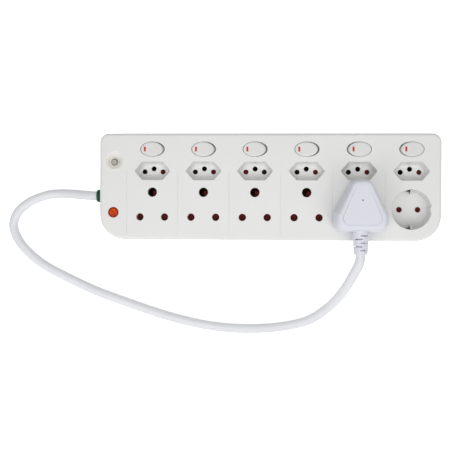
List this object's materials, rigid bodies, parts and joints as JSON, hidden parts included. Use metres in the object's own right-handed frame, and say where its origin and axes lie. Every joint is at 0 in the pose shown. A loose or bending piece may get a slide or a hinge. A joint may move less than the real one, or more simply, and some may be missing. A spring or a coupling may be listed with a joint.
{
  "type": "power strip",
  "caption": "Long flat power strip lying on its back, with switched socket columns, a reset breaker, a lamp and a cord looping round to its own plug.",
  "frame": {"origin": "middle of the housing outline, on its flat back", "axes": "+X along the strip away from the cord end, +Y from the sockets to the switches, +Z out of the socket face"},
  "size_m": [0.4559, 0.21, 0.074],
  "materials": {
    "housing": "smooth satin-gloss moulded plastic",
    "plug": "fine-textured moulded plastic",
    "cord": "soft extruded sheath",
    "shutter": "dark red moulded plastic",
    "switch_grey": "moulded plastic",
    "lamp": "clear tinted plastic, glossy",
    "bulb": "clear glass",
    "gland": "moulded plastic",
    "brass": "rolled strip",
    "steel": "zinc plated",
    "button": "moulded plastic"
  },
  "bodies": {
    "housing": {"top_cover": "housing", "base_tray": "housing", "neutral_bus": "brass", "earth_bus": "brass", "live_feed": "brass", "well_earth_clip": "steel", "overload_breaker": "switch_grey", "breaker_nut": "housing", "lamp_lens": "lamp", "neon_bulb": "bulb", "cord_gland": "gland", "cord_clamp": "switch_grey", "supply_cord": "cord", "pin_shutter_5": "shutter", "switch_body_1": "switch_grey", "switch_body_2": "switch_grey", "switch_body_3": "switch_grey", "switch_body_4": "switch_grey", "switch_body_5": "switch_grey", "switch_body_6": "switch_grey", "live_contact_1": "brass", "live_contact_2": "brass", "live_contact_3": "brass", "live_contact_4": "brass", "live_contact_5": "brass", "live_contact_6": "brass", "housing_screw_1": "steel", "housing_screw_2": "steel", "housing_screw_3": "steel", "housing_screw_4": "steel", "housing_screw_5": "steel", "housing_screw_6": "steel"},
    "rocker_1": {"rocker_1": "housing"},
    "rocker_2": {"rocker_2": "housing"},
    "rocker_3": {"rocker_3": "housing"},
    "rocker_4": {"rocker_4": "housing"},
    "rocker_5": {"rocker_5": "housing"},
    "rocker_6": {"rocker_6": "housing"},
    "pin_shutter_1": {"pin_shutter_1": "shutter"},
    "pin_shutter_2": {"pin_shutter_2": "shutter"},
    "pin_shutter_3": {"pin_shutter_3": "shutter"},
    "pin_shutter_4": {"pin_shutter_4": "shutter"},
    "hex_shutter_1": {"hex_shutter_1": "shutter"},
    "hex_shutter_2": {"hex_shutter_2": "shutter"},
    "hex_shutter_3": {"hex_shutter_3": "shutter"},
    "hex_shutter_4": {"hex_shutter_4": "shutter"},
    "hex_shutter_5": {"hex_shutter_5": "shutter"},
    "hex_shutter_6": {"hex_shutter_6": "shutter"},
    "well_shutter": {"well_shutter": "shutter"},
    "reset_button": {"reset_button": "button"},
    "plug": {"plug_base": "plug", "plug_cover": "plug", "plug_boot": "plug", "plug_pin_live": "brass", "plug_pin_neutral": "brass", "plug_pin_earth": "brass", "plug_screw": "steel"}
  },
  "joints": [
    {"name": "rocker_1_tilt", "type": "hinge", "parent": "housing", "child": "rocker_1", "pos_m": [-0.11954, 0.0384, 0.0348], "axis": [0, 1, 0], "range_deg": [0, 14]},
    {"name": "rocker_2_tilt", "type": "hinge", "parent": "housing", "child": "rocker_2", "pos_m": [-0.06682, 0.0384, 0.0348], "axis": [0, 1, 0], "range_deg": [0, 14]},
    {"name": "rocker_3_tilt", "type": "hinge", "parent": "housing", "child": "rocker_3", "pos_m": [-0.0141, 0.0384, 0.0348], "axis": [0, 1, 0], "range_deg": [0, 14]},
    {"name": "rocker_4_tilt", "type": "hinge", "parent": "housing", "child": "rocker_4", "pos_m": [0.03862, 0.0384, 0.0348], "axis": [0, 1, 0], "range_deg": [0, 14]},
    {"name": "rocker_5_tilt", "type": "hinge", "parent": "housing", "child": "rocker_5", "pos_m": [0.09134, 0.0384, 0.0348], "axis": [0, 1, 0], "range_deg": [-14, 0]},
    {"name": "rocker_6_tilt", "type": "hinge", "parent": "housing", "child": "rocker_6", "pos_m": [0.14406, 0.0384, 0.0348], "axis": [0, 1, 0], "range_deg": [-14, 0]},
    {"name": "pin_shutter_1_slide", "type": "slide", "parent": "housing", "child": "pin_shutter_1", "axis": [0, -1, 0], "range_m": [0, 0.009], "stiffness_N_per_m": 20, "springref_m": -0.004},
    {"name": "pin_shutter_2_slide", "type": "slide", "parent": "housing", "child": "pin_shutter_2", "axis": [0, -1, 0], "range_m": [0, 0.009], "stiffness_N_per_m": 20, "springref_m": -0.004},
    {"name": "pin_shutter_3_slide", "type": "slide", "parent": "housing", "child": "pin_shutter_3", "axis": [0, -1, 0], "range_m": [0, 0.009], "stiffness_N_per_m": 20, "springref_m": -0.004},
    {"name": "pin_shutter_4_slide", "type": "slide", "parent": "housing", "child": "pin_shutter_4", "axis": [0, -1, 0], "range_m": [0, 0.009], "stiffness_N_per_m": 20, "springref_m": -0.004},
    {"name": "hex_shutter_1_slide", "type": "slide", "parent": "housing", "child": "hex_shutter_1", "axis": [0, -1, 0], "range_m": [0, 0.0093], "stiffness_N_per_m": 20, "springref_m": -0.004},
    {"name": "hex_shutter_2_slide", "type": "slide", "parent": "housing", "child": "hex_shutter_2", "axis": [0, -1, 0], "range_m": [0, 0.0093], "stiffness_N_per_m": 20, "springref_m": -0.004},
    {"name": "hex_shutter_3_slide", "type": "slide", "parent": "housing", "child": "hex_shutter_3", "axis": [0, -1, 0], "range_m": [0, 0.0093], "stiffness_N_per_m": 20, "springref_m": -0.004},
    {"name": "hex_shutter_4_slide", "type": "slide", "parent": "housing", "child": "hex_shutter_4", "axis": [0, -1, 0], "range_m": [0, 0.0093], "stiffness_N_per_m": 20, "springref_m": -0.004},
    {"name": "hex_shutter_5_slide", "type": "slide", "parent": "housing", "child": "hex_shutter_5", "axis": [0, -1, 0], "range_m": [0, 0.0093], "stiffness_N_per_m": 20, "springref_m": -0.004},
    {"name": "hex_shutter_6_slide", "type": "slide", "parent": "housing", "child": "hex_shutter_6", "axis": [0, -1, 0], "range_m": [0, 0.0093], "stiffness_N_per_m": 20, "springref_m": -0.004},
    {"name": "well_shutter_slide", "type": "slide", "parent": "housing", "child": "well_shutter", "axis": [0, 1, 0], "range_m": [0, 0.0075], "stiffness_N_per_m": 20, "springref_m": -0.004},
    {"name": "reset_button_press", "type": "slide", "parent": "housing", "child": "reset_button", "axis": [0, 0, -1], "range_m": [0, 0.0022], "stiffness_N_per_m": 400, "springref_m": -0.001},
    {"name": "plug_pull", "type": "slide", "parent": "housing", "child": "plug", "axis": [0, 0, 1], "range_m": [0, 0.032]}
  ]
}
